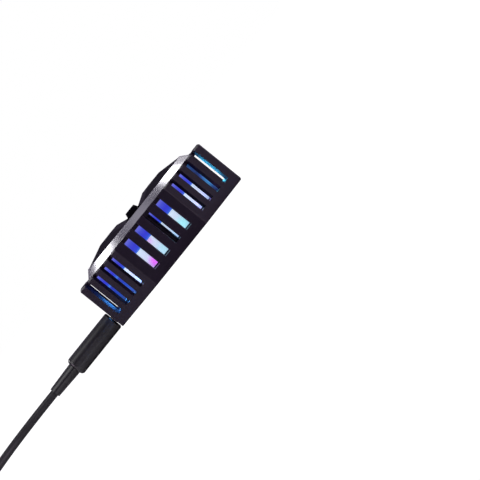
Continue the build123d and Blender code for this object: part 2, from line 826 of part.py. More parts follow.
# Centre cap of the guard, a block with its corners cut to facets
with BuildPart() as guard_cap:
    with BuildSketch(Plane.XY.offset(heel_level)):
        Rectangle(2 * cap_foot, 2 * cap_foot)
    with BuildSketch(Plane.XY.offset(crown_top)):
        Rectangle(2 * cap_top, 2 * cap_top)
    loft()
    for turn in range(4):
        towards = Vector(cap_foot, cap_foot, heel_level).rotate(Axis.Z, turn * 90)
        near = Vector(cap_top, cap_top_narrow, crown_top).rotate(Axis.Z, turn * 90)
        far = Vector(cap_top_narrow, cap_top, crown_top).rotate(Axis.Z, turn * 90)
        split(bisect_by=facet_plane(towards, near, far), keep=Keep.BOTTOM)
    with BuildSketch(Plane.XY.offset(rib_bottom)):
        Circle(cap_pin_radius)
    extrude(amount=heel_level - rib_bottom)
save(guard_cap, "guard_cap")


# The lead
def along(start, direction):
    """A plane that faces along the lead, its y upwards."""
    return Plane(origin=start, x_dir=Vector(0, 0, 1).cross(Vector(*direction)), z_dir=direction)


cord_radius = cord_diameter / 2
grip_face_x = -flat_radius - grip_stand_off
grip_tail_x = grip_face_x - grip_length
cord_start_x = grip_tail_x - relief_length
outward = (-1, 0, 0)

with BuildPart() as plug_shell:
    with BuildSketch(along((grip_face_x, 0, plug_axis), outward)):
        socket_profile(plug_width, plug_height)
    extrude(amount=-plug_reach)
    with BuildSketch(along((grip_face_x + plug_reach, 0, plug_axis), outward)):
        Rectangle(plug_cavity_width, plug_cavity_height)
    extrude(amount=plug_cavity_depth, mode=Mode.SUBTRACT)
save(plug_shell, "plug_shell")


def grip_block(start, direction, width, height, length, edge):
    """The moulded grip of a plug, rounded at its nose and more at its tail."""
    with BuildPart() as grip:
        with BuildSketch(along(start, direction)):
            RectangleRounded(width, height, edge)
        extrude(amount=length)
        ends = grip.faces().sort_by(Axis(origin=start, direction=direction))
        fillet(ends[0].edges(), radius=grip_nose_round)
        ends = grip.faces().sort_by(Axis(origin=start, direction=direction))
        fillet(ends[-1].edges(), radius=grip_tail_round)
    return grip


plug_grip = grip_block((grip_face_x, 0, plug_axis), outward, grip_width, grip_height, grip_length, grip_edge)
save(plug_grip, "plug_grip")


def strain_relief(start, direction):
    """A tapered sleeve where the cord leaves a plug."""
    end = Vector(*start) + Vector(*direction) * relief_length
    with BuildPart() as relief:
        with BuildSketch(along(start, direction)):
            Circle(relief_foot_radius)
        with BuildSketch(along(end, direction)):
            Circle(relief_tip_radius)
        loft()
    return relief


plug_relief = strain_relief((grip_tail_x, 0, plug_axis), outward)
save(plug_relief, "plug_relief")

# Coil of the cord that is put away: layers of turns that spiral in and out again
turn_pitch = cord_diameter + turn_gap
coil_outer_radius = coil_inner_radius + turn_pitch * turns_per_layer
coil_floor = tie_thickness + tie_gap + cord_radius
coil_turns = coil_layers * turns_per_layer
coil_centre = Vector(coil_x, coil_y + coil_outer_radius, 0)


def coil_place(turns):
    """The middle of the cord, and its direction, after so many turns."""
    layer = min(floor(turns / turns_per_layer), coil_layers - 1)
    swing = turns % (2 * turns_per_layer)
    if turns == coil_turns:
        swing = 0
    inward = swing < turns_per_layer
    steps = swing if inward else 2 * turns_per_layer - swing
    radius = coil_outer_radius - turn_pitch * steps
    angle = -pi / 2 - 2 * pi * turns
    out = Vector(cos(angle), sin(angle), 0)
    onward = Vector(sin(angle), -cos(angle), 0)
    place = coil_centre + out * radius + Vector(0, 0, coil_floor + turn_pitch * layer)
    if turns in (0, coil_turns):
        return place, onward
    drift = turn_pitch / (2 * pi) * (-1 if inward else 1)
    return place, (onward * radius + out * drift).normalized()


def biarc(start, start_way, end, end_way):
    """The point and the direction where two tangent arcs between two places meet."""
    step = end - start
    ways = start_way + end_way
    spread = 2 * (1 - start_way.dot(end_way))
    reach = (sqrt(step.dot(ways) ** 2 + spread * step.dot(step)) - step.dot(ways)) / spread
    near = start + start_way * reach
    far = end - end_way * reach
    return (near + far) / 2, (far - near).normalized()


quarter = 1 / 4
coil_stops = [0] + [quarter + half / 2 for half in range(int(2 * coil_turns))] + [coil_turns]
with BuildPart() as cord_coil:
    with BuildLine() as coil_line:
        first, first_way = coil_place(0)
        Line(first - first_way * cord_diameter, first)
        for earlier, later in zip(coil_stops, coil_stops[1:]):
            start, start_way = coil_place(earlier)
            end, end_way = coil_place(later)
            joint, joint_way = biarc(start, start_way, end, end_way)
            TangentArc(start, joint, tangent=start_way)
            TangentArc(joint, end, tangent=joint_way)
        last, last_way = coil_place(coil_turns)
        Line(last, last + last_way * cord_diameter)
    with BuildSketch(along(first - first_way * cord_diameter, first_way)):
        Circle(cord_radius)
    sweep(path=coil_line.wire())
save(cord_coil, "cord_coil")


def least_gap(line, length, count):
    """The least gap between stretches of the coil that lie more than a short way apart along it."""
    points = [line.position_at(place / count) for place in range(count + 1)]
    apart = int(count * 4 * cord_diameter / length)
    nearest = length
    for first_place, point in enumerate(points):
        for other in points[first_place + apart:]:
            nearest = min(nearest, (point - other).length)
    return nearest - cord_diameter


coil_length = coil_line.wire().length
samples_per_turn = 36
coil_gap = least_gap(coil_line.wire(), coil_length, int(samples_per_turn * coil_turns))
print("coil length", round(coil_length, 1), "least gap to itself", round(coil_gap, 3))
print("coil volume over section times length", round(cord_coil.part.volume / (pi * cord_radius**2 * coil_length), 4))

# Free stretches of cord, straight runs joined by tangent arcs
coil_entry = first - first_way * cord_diameter
coil_exit = last + last_way * cord_diameter
far_axis = far_grip_height / 2 + grip_lift

run_route = [
    (cord_start_x, 0, plug_axis),
    (-76.0, 0, plug_axis),
    (-94.0, coil_y, coil_floor),
    (coil_entry.X, coil_y, coil_floor),
]
tail_route = [
    (coil_exit.X, coil_y, coil_exit.Z),
    (-127.0, coil_y, coil_exit.Z),
    (-138.0, -7.5, 7.6),
    (tail_x, 1.0, far_axis),
    (tail_x, far_grip_y - relief_length, far_axis),
]


def corner_radii(route):
    """For each corner of a route, the largest arc that its two runs allow."""
    points = [Vector(*point) for point in route]
    radii = []
    for before, corner, after in zip(points, points[1:], points[2:]):
        shorter = min((corner - before).length, (after - corner).length)
        turn = (corner - before).get_angle(after - corner)
        radii.append(corner_arc_share * shorter / tan(radians(turn) / 2))
    return radii


def cord_tube(route):
    """A free stretch of cord along its route."""
    radii = corner_radii(route)
    print("radii", [round(radius, 1) for radius in radii])
    with BuildPart() as tube:
        with BuildLine() as path:
            FilletPolyline(*route, radius=radii)
        start = Vector(*route[0])
        way = (Vector(*route[1]) - start).normalized()
        with BuildSketch(along(start, way)):
            Circle(cord_radius)
        sweep(path=path.wire())
    length = path.wire().length
    print("tube length", round(length, 1), "volume share", round(tube.part.volume / (pi * cord_radius**2 * length), 4))
    return tube


cord_run = cord_tube(run_route)
save(cord_run, "cord_run")
cord_tail = cord_tube(tail_route)
save(cord_tail, "cord_tail")

# Tie round the coil: a strap with its tab lying on top
strap_inner = sqrt(coil_inner_radius**2 - (tie_width / 2) ** 2) - cord_radius - 3 * tie_gap
strap_outer = coil_outer_radius + cord_radius + 3 * tie_gap
strap_hole = strap_outer - strap_inner
strap_clear_height = turn_pitch * (coil_layers - 1) + cord_diameter + 2 * tie_gap
strap_middle = (strap_inner + strap_outer) / 2
with BuildPart() as cord_tie:
    with BuildSketch(Plane(origin=(coil_x - tie_width / 2, coil_centre.Y, 0), x_dir=(0, 1, 0), z_dir=(1, 0, 0))):
        with Locations((strap_middle, strap_clear_height / 2 + tie_thickness)):
            RectangleRounded(
                strap_hole + 2 * tie_thickness, strap_clear_height + 2 * tie_thickness, cord_radius + tie_thickness / 2
            )
            RectangleRounded(strap_hole, strap_clear_height, cord_radius - tie_thickness / 2, mode=Mode.SUBTRACT)
        with Locations((strap_middle, strap_clear_height + 2 * tie_thickness)):
            Rectangle(tie_tab, tie_thickness, align=(Align.CENTER, Align.MIN))
    extrude(amount=tie_width)
save(cord_tie, "cord_tie")

# Far-end plug, lying beside the coil
far_way = (0, 1, 0)
far_relief = strain_relief((tail_x, far_grip_y, far_axis), (0, -1, 0))
save(far_relief, "far_relief")
far_grip = grip_block(
    (tail_x, far_grip_y + far_grip_length, far_axis),
    (0, -1, 0),
    far_grip_width,
    far_grip_height,
    far_grip_length,
    far_grip_edge,
)
save(far_grip, "far_grip")

far_face_y = far_grip_y + far_grip_length
with BuildPart() as far_shell:
    with BuildSketch(along((tail_x, far_face_y, far_axis), far_way)):
        Rectangle(far_shell_width, far_shell_height)
    extrude(amount=far_shell_length)
    fillet(far_shell.edges().filter_by(Axis.Y), radius=far_shell_wall)
    with BuildSketch(along((tail_x, far_face_y + far_shell_wall, far_axis), far_way)):
        Rectangle(far_shell_width - 2 * far_shell_wall, far_shell_height - 2 * far_shell_wall)
    extrude(amount=far_shell_length, mode=Mode.SUBTRACT)
    with BuildSketch(Plane.XY):
        with Locations((tail_x - far_window_offset, far_face_y + far_window_reach)):
            Rectangle(far_window_side, far_window_side)
        with Locations((tail_x + far_window_offset, far_face_y + far_window_reach)):
            Rectangle(far_window_side, far_window_side)
    extrude(amount=far_grip_height, mode=Mode.SUBTRACT)
save(far_shell, "far_shell")

far_tongue_top = far_axis - far_shell_height / 2 + far_shell_wall
with BuildPart() as far_tongue:
    with BuildSketch(along((tail_x, far_face_y + far_shell_wall, far_tongue_top), far_way)):
        Rectangle(far_tongue_width, far_tongue_thickness, align=(Align.CENTER, Align.MIN))
    extrude(amount=far_tongue_length)
save(far_tongue, "far_tongue")
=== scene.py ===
# %% [markdown]
# # A magnetic cooling fan for a phone
# The fan lies on its cold side. Its octagonal body is slotted all round, and a lit heat sink and a
# blue light ring show through the slots. A metal trim ring and a faceted guard close the front, and a
# plug-in lead leaves to one side. The CAD model is loaded first and stays as it is: everything below
# dresses it with finishes, or stands in for a node where the bare solid is too sharp or too plain.

# %% Load the frame
import json
from math import cos, pi, radians, sin

import bmesh
import bpy
from mathutils import Matrix, Vector


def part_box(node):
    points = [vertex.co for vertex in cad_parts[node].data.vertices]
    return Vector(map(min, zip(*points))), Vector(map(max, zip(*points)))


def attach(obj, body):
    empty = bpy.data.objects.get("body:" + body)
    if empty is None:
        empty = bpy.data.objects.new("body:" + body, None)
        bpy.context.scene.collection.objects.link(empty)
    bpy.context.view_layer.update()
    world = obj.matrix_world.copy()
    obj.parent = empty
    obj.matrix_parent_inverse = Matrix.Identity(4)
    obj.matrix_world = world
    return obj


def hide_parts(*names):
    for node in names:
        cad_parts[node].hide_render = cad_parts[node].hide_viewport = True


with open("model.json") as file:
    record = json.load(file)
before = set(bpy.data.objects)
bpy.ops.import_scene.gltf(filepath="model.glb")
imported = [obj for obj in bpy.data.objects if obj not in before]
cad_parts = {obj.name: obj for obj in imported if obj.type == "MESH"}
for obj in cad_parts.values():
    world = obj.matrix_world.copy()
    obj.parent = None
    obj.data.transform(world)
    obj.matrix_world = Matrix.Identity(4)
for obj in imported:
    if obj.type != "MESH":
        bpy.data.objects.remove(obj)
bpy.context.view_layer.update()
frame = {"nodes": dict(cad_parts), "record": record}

MM = 0.001
nodes = frame["nodes"]
record = frame["record"]

# %% [markdown]
# ## Camera
# The picture shows the fan level from one side, with the frame turned, so that the body's axis runs
# to the upper left. A long lens from four metres away keeps the sides nearly parallel, so that the
# outermost slots can be seen through, as they can in the picture. The camera stands a little above
# the floor and to the right, and aims past the body, which puts the fan where the picture has it.

# %% The camera
PICTURE_WIDTH = 147.5 * MM
ROLL = radians(-51.2)
CAMERA_AWAY = 4.0
CAMERA_SIDE = 62.0 * MM
CAMERA_HEIGHT = 55.0 * MM
CAMERA_AIM = Vector((14.0, 0.0, -11.55)) * MM
NEAREST_SEEN = 0.1
FARTHEST_SEEN = 20

camera = bpy.data.objects.new("camera", bpy.data.cameras.new("camera"))
bpy.context.collection.objects.link(camera)
camera.location = (CAMERA_SIDE, -CAMERA_AWAY, CAMERA_HEIGHT)
looking = (CAMERA_AIM - camera.location).to_track_quat("-Z", "Y").to_matrix().to_4x4()
camera.matrix_world = Matrix.Translation(camera.location) @ looking @ Matrix.Rotation(ROLL, 4, "Z")
camera.data.lens = camera.data.sensor_width * CAMERA_AWAY / PICTURE_WIDTH
camera.data.clip_start = NEAREST_SEEN
camera.data.clip_end = FARTHEST_SEEN
bpy.context.scene.camera = camera
print("lens:", round(camera.data.lens, 1), "mm")

# %% [markdown]
# ## The lead
# A soft lead, 2.7 mm thick and about one and a half metres long, runs out of the strain relief and is
# wound into a neat coil that lies outside the picture. A cord is one smooth curve, so it is drawn as a
# single NURBS spline: a few points for the free stretches, and points round every turn for the coil.

# %% Points of the coil
CORD_DIAMETER = 2.7 * MM
TURN_PITCH = 3.22 * MM
TURNS_PER_LAYER = 3.5
COIL_LAYERS = 4
COIL_INNER = 10.5 * MM
COIL_OUTER = COIL_INNER + TURN_PITCH * TURNS_PER_LAYER
COIL_FLOOR = 2.25 * MM
COIL_X = -113.0 * MM
COIL_Y = -12.0 * MM
POINTS_PER_TURN = 24
COIL_TURNS = COIL_LAYERS * TURNS_PER_LAYER


def coil_point(turns):
    """Where a point lies after so many turns. It stands out by as much as the curve cuts inside it."""
    layer = min(int(turns / TURNS_PER_LAYER), COIL_LAYERS - 1)
    swing = turns % (2 * TURNS_PER_LAYER)
    steps = swing if swing < TURNS_PER_LAYER else 2 * TURNS_PER_LAYER - swing
    radius = (COIL_OUTER - TURN_PITCH * steps) / cos(pi / POINTS_PER_TURN)
    angle = -pi / 2 - 2 * pi * turns
    height = COIL_FLOOR + TURN_PITCH * layer
    return (COIL_X + radius * cos(angle), COIL_Y + COIL_OUTER + radius * sin(angle), height)


coil_points = [coil_point(step / POINTS_PER_TURN) for step in range(1, int(COIL_TURNS * POINTS_PER_TURN))]
print("coil points:", len(coil_points))

# %% The cord as one spline
PLUG_AXIS = 3.35 * MM
FAR_AXIS = 4.15 * MM
TAIL_X = -143.0 * MM
CORD_EXIT = (-58.3 * MM, 0.0, PLUG_AXIS)
CORD_ROUNDNESS = 3
CORD_SMOOTHNESS = 8
COIL_TOP = COIL_FLOOR + TURN_PITCH * (COIL_LAYERS - 1)

run_points = [
    CORD_EXIT,
    (-76.0 * MM, 0.0, PLUG_AXIS),
    (-94.0 * MM, COIL_Y, COIL_FLOOR),
    (-110.3 * MM, COIL_Y, COIL_FLOOR),
    (COIL_X, COIL_Y, COIL_FLOOR),
]
tail_points = [
    (COIL_X, COIL_Y, COIL_TOP),
    (-115.7 * MM, COIL_Y, COIL_TOP),
    (-127.0 * MM, COIL_Y, COIL_TOP),
    (-138.0 * MM, -7.5 * MM, 7.6 * MM),
    (TAIL_X, 1.0 * MM, FAR_AXIS),
    (TAIL_X, 9.7 * MM, FAR_AXIS),
]
cord_points = run_points + coil_points + tail_points

cord_curve = bpy.data.curves.new("cord", "CURVE")
cord_curve.dimensions = "3D"
cord_curve.bevel_depth = CORD_DIAMETER / 2
cord_curve.bevel_resolution = CORD_ROUNDNESS
cord_curve.resolution_u = CORD_SMOOTHNESS
spline = cord_curve.splines.new("NURBS")
spline.points.add(len(cord_points) - 1)
for place, point in zip(spline.points, cord_points):
    place.co = (*point, 1)
spline.order_u = 3
spline.use_endpoint_u = True
cord = bpy.data.objects.new("cord", cord_curve)
bpy.context.collection.objects.link(cord)

# %% [markdown]
# ## Helpers for nodes
# The floor, the world and every finish are made of nodes. These helpers add a node, join two sockets,
# and build what is used again and again: noise, waves, colours along a ramp, ranges and bumps.

# %% Nodes and links
HALF_WAY = 0.5


def add_node(owner, kind, **settings):
    """A new node of a material or world, with its settings."""
    node = owner.node_tree.nodes.new(kind)
    for setting, value in settings.items():
        setattr(node, setting, value)
    return node


def join(owner, source, target):
    """A link from one socket to another."""
    owner.node_tree.links.new(source, target)


def shader_of(material):
    """The inputs of a material's shader."""
    return material.node_tree.nodes["Principled BSDF"].inputs


def coordinates(owner, kind="Object"):
    """Coordinates as a socket. Object coordinates keep a pattern on its piece."""
    return add_node(owner, "ShaderNodeTexCoord").outputs[kind]


def along(owner, axis, kind="Object"):
    """How far a point lies along one axis."""
    parts = add_node(owner, "ShaderNodeSeparateXYZ")
    join(owner, coordinates(owner, kind), parts.inputs["Vector"])
    return parts.outputs[axis]


def ramp(owner, factor, stops):
    """A colour that follows a factor through stops of (position, colour)."""
    node = add_node(owner, "ShaderNodeValToRGB")
    elements = node.color_ramp.elements
    while len(elements) < len(stops):
        elements.new(HALF_WAY)
    for element, (position, color) in zip(elements, stops):
        element.position = position
        element.color = (*color, 1)
    join(owner, factor, node.inputs["Fac"])
    return node.outputs["Color"]


def ranged(owner, value, start, end, low=0.0, high=1.0, way="LINEAR"):
    """A number that goes from low to high as a value goes from start to end."""
    node = add_node(owner, "ShaderNodeMapRange", interpolation_type=way)
    limits = {"From Min": start, "From Max": end, "To Min": low, "To Max": high}
    for socket, number in limits.items():
        node.inputs[socket].default_value = number
    join(owner, value, node.inputs["Value"])
    return node.outputs["Result"]


def noise(owner, size, detail, stretch=(1, 1, 1)):
    """Noise whose spots are about so large, longer along an axis where the stretch is greater."""
    mapping = add_node(owner, "ShaderNodeMapping")
    mapping.inputs["Scale"].default_value = [1 / (size * share) for share in stretch]
    texture = add_node(owner, "ShaderNodeTexNoise")
    texture.inputs["Scale"].default_value = 1
    texture.inputs["Detail"].default_value = detail
    join(owner, coordinates(owner), mapping.inputs["Vector"])
    join(owner, mapping.outputs["Vector"], texture.inputs["Vector"])
    return texture.outputs["Fac"]


def waves(owner, size, kind="Object", distortion=0.0, **settings):
    """Even waves, about three to a size."""
    texture = add_node(owner, "ShaderNodeTexWave", **settings)
    texture.inputs["Scale"].default_value = 1 / size
    texture.inputs["Distortion"].default_value = distortion
    join(owner, coordinates(owner, kind), texture.inputs["Vector"])
    return texture.outputs["Fac"]


def mixed(owner, factor, one, other):
    """One colour turning into another with a factor."""
    node = add_node(owner, "ShaderNodeMix", data_type="RGBA")
    join(owner, factor, node.inputs["Factor"])
    join(owner, one, node.inputs["A"])
    join(owner, other, node.inputs["B"])
    return node.outputs["Result"]


def flat_color(owner, color):
    """One plain colour as a socket."""
    node = add_node(owner, "ShaderNodeRGB")
    node.outputs[0].default_value = (*color, 1)
    return node.outputs[0]


def pool(owner, centre, near, far):
    """A pool of light: 1 within the near distance of a point, fading to 0 at the far distance."""
    away = add_node(owner, "ShaderNodeVectorMath", operation="DISTANCE")
    away.inputs[1].default_value = centre
    join(owner, coordinates(owner), away.inputs[0])
    return ranged(owner, away.outputs["Value"], far, near, way="SMOOTHSTEP")


def bump(material, height, depth):
    """A bump of so many metres of depth. A second call adds to the first."""
    node = add_node(material, "ShaderNodeBump")
    node.inputs["Distance"].default_value = depth
    join(material, height, node.inputs["Height"])
    normal = shader_of(material)["Normal"]
    if normal.is_linked:
        join(material, normal.links[0].from_socket, node.inputs["Normal"])
    join(material, node.outputs["Normal"], normal)


def camera_sees(owner, lit, seen, share):
    """One shader lights the scene. Where the camera looks straight at it, another covers a share."""
    rays = add_node(owner, "ShaderNodeLightPath")
    scaled = add_node(owner, "ShaderNodeMath", operation="MULTIPLY")
    scaled.inputs[1].default_value = share
    mix = add_node(owner, "ShaderNodeMixShader")
    join(owner, rays.outputs["Is Camera Ray"], scaled.inputs[0])
    join(owner, scaled.outputs[0], mix.inputs["Fac"])
    join(owner, lit.outputs[0], mix.inputs[1])
    join(owner, seen.outputs[0], mix.inputs[2])
    return mix.outputs["Shader"]


def new_finish(name, color, roughness, metallic=0.0, specular=0.5):
    """A material whose plain values sit on the shader's own sockets."""
    material = bpy.data.materials.new(name)
    material.use_nodes = True
    inputs = shader_of(material)
    inputs["Base Color"].default_value = (*color, 1)
    inputs["Roughness"].default_value = roughness
    inputs["Metallic"].default_value = metallic
    inputs["Specular IOR Level"].default_value = specular
    return material


# %% [markdown]
# ## Floor and world
# The fan stands on a plain white floor against white. What the camera sees of both is drawn white
# with Light Path, and the light on the fan is set apart from it, so the black body stays black.
# The sky that the fan mirrors is dim, and brightest straight overhead, above the guard's flat facets.

# %% The floor
FLOOR_SIZE = 6.0
FLOOR_COLOR = (0.86, 0.86, 0.87)
FLOOR_ROUGHNESS = 0.8
FLOOR_GLOW = 1.75
FLOOR_GLOW_SHARE = 0.55

bpy.ops.mesh.primitive_plane_add(size=FLOOR_SIZE, location=(0, 0, 0))
floor = bpy.context.object
floor.name = "floor"
floor_paint = new_finish("floor_paint", FLOOR_COLOR, FLOOR_ROUGHNESS)
paint = floor_paint.node_tree.nodes["Principled BSDF"]
glow = add_node(floor_paint, "ShaderNodeEmission")
glow.inputs["Strength"].default_value = FLOOR_GLOW
surface = floor_paint.node_tree.nodes["Material Output"].inputs["Surface"]
join(floor_paint, camera_sees(floor_paint, paint, glow, FLOOR_GLOW_SHARE), surface)
floor.data.materials.append(floor_paint)

# %% The world
SKY_STRENGTH = 0.9
SKY_TONES = [
    (0.25, (0.11, 0.09, 0.14)),
    (0.8, (0.22, 0.20, 0.26)),
    (0.95, (0.13, 0.12, 0.16)),
    (1.0, (0.44, 0.42, 0.49)),
]
WHITE = (1.0, 1.0, 1.0)

world = bpy.data.worlds.new("studio")
bpy.context.scene.world = world
world.use_nodes = True
sky = world.node_tree.nodes["Background"]
sky.inputs["Strength"].default_value = SKY_STRENGTH
join(world, ramp(world, along(world, "Z", "Generated"), SKY_TONES), sky.inputs["Color"])
backdrop = add_node(world, "ShaderNodeBackground")
backdrop.inputs["Color"].default_value = (*WHITE, 1)
surface = world.node_tree.nodes["World Output"].inputs["Surface"]
join(world, camera_sees(world, sky, backdrop, 1.0), surface)
bpy.context.scene.view_settings.view_transform = "Standard"

# %% [markdown]
# ## Lamps
# Three lamps behind the fan are mirrored in the trim ring, and two in front bring out the sides of the
# body in a faint violet. Two small ones light the right front edge and the plug's grip. Inside, the
# lamps on the board throw their colours on the walls of the slots.

# %% Helpers for lamps
FAN_MIDDLE = (0.0, 0.0, 0.01)


def new_lamp(name, kind, place, watts, color):
    """A lamp that the camera doesn't see."""
    lamp = bpy.data.objects.new(name, bpy.data.lights.new(name, kind))
    bpy.context.collection.objects.link(lamp)
    lamp.location = place
    lamp.visible_camera = False
    lamp.data.energy = watts
    lamp.data.color = color
    return lamp


def soft_lamp(name, place, watts, width, color=WHITE, aim=FAN_MIDDLE, height=None):
    """A soft lamp that looks at a point. It is square unless it has a height of its own."""
    lamp = new_lamp(name, "AREA", place, watts, color)
    lamp.data.size = width
    if height:
        lamp.data.shape = "RECTANGLE"
        lamp.data.size_y = height
    lamp.rotation_mode = "QUATERNION"
    lamp.rotation_quaternion = (Vector(aim) - Vector(place)).to_track_quat("-Z", "Y")


# %% Lamps round the fan
# Each has a place in metres, a power in watts and a width in metres
VIOLET = (1.0, 0.82, 1.0)
GRIP_MIDDLE = (-0.045, 0.0, 0.006)

soft_lamp("left_lamp", (-0.404, 0.436, 0.624), 1.35, 0.29)
soft_lamp("right_lamp", (0.396, 0.447, 0.620), 1.0, 0.26)
soft_lamp("right_rim_lamp", (0.27, 0.80, 0.31), 0.1, 0.25)
soft_lamp("left_front_lamp", (-0.95, -0.28, 0.30), 2.1, 0.35, VIOLET)
soft_lamp("right_front_lamp", (0.95, -0.28, 0.30), 1.9, 0.35, VIOLET)
soft_lamp("edge_lamp", (0.64, -0.64, 0.03), 1.2, 0.08, VIOLET)
soft_lamp("grip_lamp", (-0.085, -0.055, 0.090), 0.03, 0.08, aim=GRIP_MIDDLE)

# %% Lights on the board
# Cyan at the right and azure at the left, with cyan, magenta and blue by turns in front and behind
LAMP_CIRCLE = 25.5 * MM
LIGHT_RISE = 1.2 * MM
LIGHT_RADIUS = 1.3 * MM
MAGENTA = (0.62, 0.12, 0.85)
BLUE = (0.05, 0.08, 0.60)
CYAN = (0.06, 0.55, 0.85)
AZURE = (0.04, 0.22, 0.65)
board_lights = [
    (12, CYAN, 0.4), (40, CYAN, 0.3), (50, BLUE, 0.1), (78, CYAN, 0.1), (102, MAGENTA, 0.1),
    (130, BLUE, 0.1), (140, AZURE, 0.3), (220, AZURE, 0.3), (230, BLUE, 0.1), (258, MAGENTA, 0.1),
    (282, CYAN, 0.1), (310, MAGENTA, 0.1), (320, BLUE, 0.1), (348, CYAN, 0.4),
]
domes_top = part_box("lamps")[1].z


def on_lamp_circle(angle, height):
    """A place above the lamps' circle on the board."""
    turned = radians(angle)
    return (LAMP_CIRCLE * cos(turned), LAMP_CIRCLE * sin(turned), height)


for count, (angle, color, milliwatts) in enumerate(board_lights):
    place = on_lamp_circle(angle, domes_top + LIGHT_RISE)
    light = new_lamp("board_light_%d" % count, "POINT", place, milliwatts * MM, color)
    light.data.shadow_soft_size = LIGHT_RADIUS

# %% Stray light between the light ring and the wall
# It reaches the walls of the outermost slots on the picture's side
STRAY_START = Vector((21.2, -13.25)) * MM
STRAY_AIM = Vector((26.3, -13.8)) * MM
STRAY_WIDTH = 2 * MM
stray_lights = [
    ("left_stray_light", -1, 7.5 * MM, 4 * MM, AZURE, 5),
    ("right_stray_light", 1, 10 * MM, 8 * MM, CYAN, 5),
]
for name, side, middle, height, color, milliwatts in stray_lights:
    start = (side * STRAY_START.x, STRAY_START.y, middle)
    aim = (side * STRAY_AIM.x, STRAY_AIM.y, middle)
    soft_lamp(name, start, milliwatts * MM, STRAY_WIDTH, color, aim, height)

# %% [markdown]
# ## Finishes
# Every finish is made of nodes that read the piece's own coordinates, so that a pattern stays on its
# piece. Two functions make nearly all of them: one moulds plastic and rubber, the other rolls metal.

# %% Moulded and metal finishes
finishes = {}
# Noise lies mostly between these values
NOISE_LOW = 0.33
NOISE_HIGH = 0.67
DARK_AT = 0.35
LIGHT_AT = 0.65
MOULD_CLOUD = 9 * MM
SHEEN_CLOUD = 2.5 * MM
WEAR_CLOUD = 6 * MM
CLOUD_DETAIL = 4
SHEEN_DETAIL = 5
SPARK_DETAIL = 2
ROLLED_DETAIL = 3


def moulded(name, dark, light, roughness, grain=0.12 * MM, depth=0.003 * MM, specular=0.5):
    """Moulded plastic or rubber: a fine spark grain, cloudy wear and a slightly uneven sheen."""
    material = new_finish(name, dark, sum(roughness) / 2, specular=specular)
    tone = ramp(material, noise(material, MOULD_CLOUD, CLOUD_DETAIL), [(DARK_AT, dark), (LIGHT_AT, light)])
    sheen = ranged(material, noise(material, SHEEN_CLOUD, SHEEN_DETAIL), NOISE_LOW, NOISE_HIGH, *roughness)
    join(material, tone, shader_of(material)["Base Color"])
    join(material, sheen, shader_of(material)["Roughness"])
    bump(material, noise(material, grain, SPARK_DETAIL), depth)
    finishes[name] = material
    return material


def metal(name, color, worn, roughness, grain=0.4 * MM, depth=0.004 * MM, stretch=(1, 1, 1)):
    """Bare metal: brushed or rolled grain, and a colour that changes a little with handling."""
    material = new_finish(name, color, sum(roughness) / 2, metallic=1.0)
    tone = ramp(material, noise(material, WEAR_CLOUD, CLOUD_DETAIL), [(DARK_AT, worn), (LIGHT_AT, color)])
    rolled = noise(material, grain, ROLLED_DETAIL, stretch)
    sheen = ranged(material, rolled, NOISE_LOW, NOISE_HIGH, *roughness)
    join(material, tone, shader_of(material)["Base Color"])
    join(material, sheen, shader_of(material)["Roughness"])
    if depth:
        bump(material, rolled, depth)
    finishes[name] = material
    return material


# %% [markdown]
# ## Plain finishes
# Most nodes need one of a few kinds of plastic, rubber or metal, each with its own two shades, its
# range of roughness and its grain. The shades are matched to the picture where it shows the piece.

# %% Plastics and rubbers
moulded("body_plastic", (0.013, 0.0077, 0.0185), (0.017, 0.0102, 0.0235), (0.34, 0.46),
        depth=0.0006 * MM, specular=0.25)
moulded("guard_plastic", (0.004, 0.003, 0.006), (0.006, 0.005, 0.009), (0.18, 0.26),
        depth=0.0004 * MM, specular=0.02)
moulded("frame_plastic", (0.02, 0.02, 0.024), (0.028, 0.028, 0.032), (0.4, 0.52))
moulded("rotor_plastic", (0.022, 0.022, 0.027), (0.03, 0.03, 0.036), (0.22, 0.34), depth=0.001 * MM)
moulded("lead_rubber", (0.005, 0.0045, 0.006), (0.007, 0.0065, 0.008), (0.28, 0.34),
        depth=0.0005 * MM, specular=0.9)
moulded("cord_jacket", (0.016, 0.016, 0.018), (0.021, 0.021, 0.024), (0.38, 0.5), depth=0.008 * MM)
moulded("pad_silicone", (0.16, 0.165, 0.18), (0.2, 0.205, 0.22), (0.55, 0.7), depth=0.02 * MM)
moulded("gasket_rubber", (0.02, 0.02, 0.02), (0.03, 0.03, 0.03), (0.8, 0.95),
        grain=0.3 * MM, depth=0.05 * MM)
moulded("module_ceramic", (0.82, 0.81, 0.78), (0.88, 0.87, 0.85), (0.35, 0.5))
moulded("board_laminate", (0.008, 0.02, 0.035), (0.012, 0.028, 0.05), (0.25, 0.4))
moulded("chip_black", (0.018, 0.018, 0.019), (0.026, 0.026, 0.027), (0.4, 0.55))
moulded("tongue_plastic", (0.02, 0.02, 0.022), (0.03, 0.03, 0.033), (0.3, 0.42))

